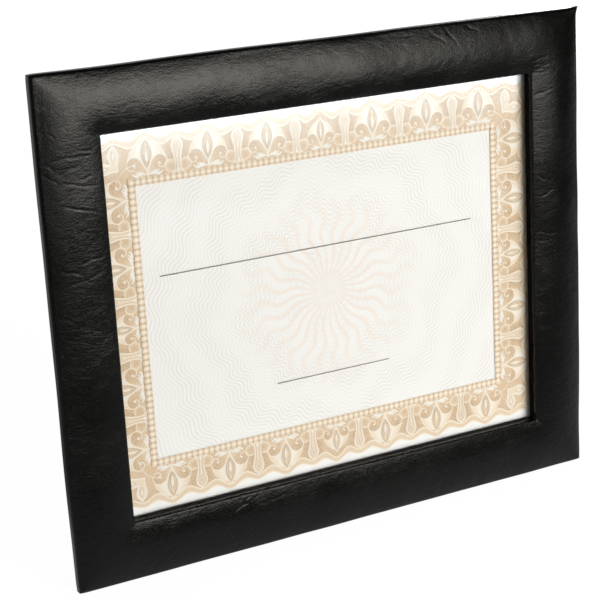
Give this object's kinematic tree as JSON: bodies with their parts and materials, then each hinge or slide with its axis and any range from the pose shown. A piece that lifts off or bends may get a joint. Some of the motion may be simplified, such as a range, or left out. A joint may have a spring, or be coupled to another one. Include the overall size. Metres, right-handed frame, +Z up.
{
  "type": "certificate frame",
  "caption": "Padded black leatherette desk frame with a landscape window, clear glazing, a slide-in certificate and a folding easel strut.",
  "frame": {"origin": "centre of the bounding box, on the floor that the frame stands on", "axes": "+X to the right as seen from the front, along the width; +Y to the back, where the strut is; +Z up"},
  "size_m": [0.3174, 0.0732, 0.2634],
  "materials": {
    "leatherette": "satin",
    "rear_leatherette": "satin",
    "liner": "satin",
    "board": "matte",
    "foam": "matte",
    "clear_sheet": "gloss",
    "certificate_paper": "matte",
    "lining_card": "matte",
    "hinge_metal": "satin",
    "rivet_metal": "polished"
  },
  "bodies": {
    "frame": {"front_board": "board", "foam_pad": "foam", "leatherette_cover": "leatherette", "window_liner_top": "liner", "window_liner_bottom": "liner", "window_liner_left": "liner", "window_liner_right": "liner", "glazing": "clear_sheet", "pocket_spacer_left": "board", "pocket_spacer_right": "board", "pocket_spacer_bottom": "board", "rear_board": "board", "rear_cover": "rear_leatherette", "rear_lining": "lining_card", "hinge_panel_leaf": "hinge_metal", "hinge_pin": "hinge_metal", "hinge_panel_rivets": "rivet_metal"},
    "certificate_sheet": {"certificate": "certificate_paper"},
    "easel": {"strut_board": "board", "strut_cover": "rear_leatherette", "hinge_strut_leaf": "hinge_metal", "hinge_strut_rivets": "rivet_metal"}
  },
  "joints": [
    {"name": "easel_hinge", "type": "hinge", "parent": "frame", "child": "easel", "pos_m": [0, 0.00933, 0.18605], "axis": [1, 0, 0], "range_deg": [-18, 0]},
    {"name": "certificate_slide", "type": "slide", "parent": "frame", "child": "certificate_sheet", "axis": [0, 0.1736, 0.9848], "range_m": [0, 0.22]}
  ]
}
